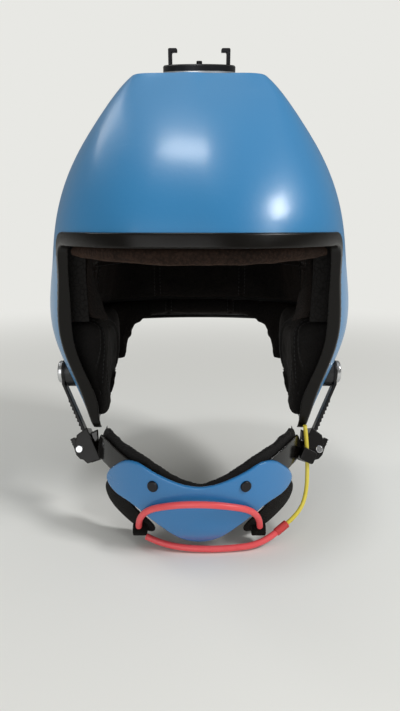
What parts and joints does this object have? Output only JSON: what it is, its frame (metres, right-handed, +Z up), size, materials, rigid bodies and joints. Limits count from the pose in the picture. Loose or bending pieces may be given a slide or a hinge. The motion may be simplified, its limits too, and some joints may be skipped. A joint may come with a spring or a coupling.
{
  "type": "skydiving camera helmet",
  "caption": "Open face helmet with a flat crown, a camera mount on top and a ratcheted chin cup with a pull release.",
  "frame": {"origin": "midway between the two side pivots of the chin harness, on their axis, where the head's ear line is", "axes": "+Z up to the crown as worn, -Y the way the face looks, +X to the side of the release cable"},
  "size_m": [0.232, 0.2576, 0.3417],
  "materials": {
    "shell_paint": "satin light blue paint over laminate",
    "cup_paint": "semi-gloss light blue",
    "foam": "black expanded foam",
    "edging": "glossy black rubber edging",
    "fleece": "brownish black fleece",
    "neoprene": "black neoprene",
    "steel": "polished steel",
    "dark_steel": "plain steel",
    "black_steel": "blackened steel",
    "aluminium": "turned aluminium",
    "black_anodised": "black anodised aluminium",
    "strap_plastic": "matt black plastic",
    "buckle_plastic": "dark grey-black plastic",
    "carrier_gloss": "glossy black plastic",
    "webbing": "black hook and loop tape",
    "red_tube": "salmon red plastic tube",
    "red_binding": "red whipping",
    "yellow_cable": "yellow coated cable"
  },
  "bodies": {
    "helmet": {"shell": "shell_paint", "foam_liner": "foam", "face_edging": "edging", "lower_edging": "edging", "crown_pad": "fleece", "rear_pad": "fleece", "brow_pad": "fleece", "ear_pad_left": "fleece", "ear_pad_right": "fleece", "nape_pad": "fleece", "pivot_washers": "edging", "pivot_screws": "steel", "pivot_nuts": "dark_steel", "camera_base": "aluminium", "camera_plate": "black_anodised", "camera_hook_left": "black_anodised", "camera_hook_right": "black_anodised", "mount_screws": "black_steel", "latch_spring": "dark_steel"},
    "harness": {"ladder_strap_left": "strap_plastic", "ladder_strap_right": "strap_plastic"},
    "chin_piece": {"buckle_frame_left": "buckle_plastic", "buckle_frame_right": "buckle_plastic", "buckle_pins": "steel", "buckle_springs": "dark_steel", "chin_carrier": "carrier_gloss", "chin_pad": "neoprene", "chin_cup": "cup_paint", "cup_rivets": "strap_plastic", "cup_tab_left": "webbing", "cup_tab_right": "webbing", "release_tube": "red_tube", "release_sleeve": "red_binding", "release_cable": "yellow_cable", "release_lug": "webbing"},
    "lever_left": {"buckle_lever_left": "buckle_plastic"},
    "lever_right": {"buckle_lever_right": "buckle_plastic"},
    "release_loop": {"release_handle": "red_tube"},
    "latch": {"latch_plunger": "black_steel"}
  },
  "joints": [
    {"name": "harness_swing", "type": "hinge", "parent": "helmet", "child": "harness", "pos_m": [0, 0, 0], "axis": [-1, 0, 0], "range_deg": [-12, 50]},
    {"name": "chin_draw", "type": "slide", "parent": "harness", "child": "chin_piece", "axis": [0, -0.3584, -0.9336], "range_m": [0, 0.009], "deforming": ["ladder_strap_left", "ladder_strap_right"]},
    {"name": "lever_left_press", "type": "hinge", "parent": "chin_piece", "child": "lever_left", "pos_m": [-0.09107, -0.02166, -0.05643], "axis": [0, 0.9336, -0.3584], "range_deg": [0, 14], "stiffness_Nm_per_rad": 0.05, "springref_deg": -11.46},
    {"name": "lever_right_press", "type": "hinge", "parent": "chin_piece", "child": "lever_right", "pos_m": [0.09107, -0.02166, -0.05643], "axis": [0, -0.9336, 0.3584], "range_deg": [0, 14], "stiffness_Nm_per_rad": 0.05, "springref_deg": -11.46},
    {"name": "release_lift", "type": "hinge", "parent": "chin_piece", "child": "release_loop", "pos_m": [0, -0.066, -0.099], "axis": [1, 0, 0], "range_deg": [0, 60]},
    {"name": "latch_press", "type": "slide", "parent": "helmet", "child": "latch", "axis": [0, 0.2419, -0.9703], "range_m": [0, 0.0022], "stiffness_N_per_m": 400, "springref_m": -0.002, "deforming": ["latch_spring"]}
  ]
}
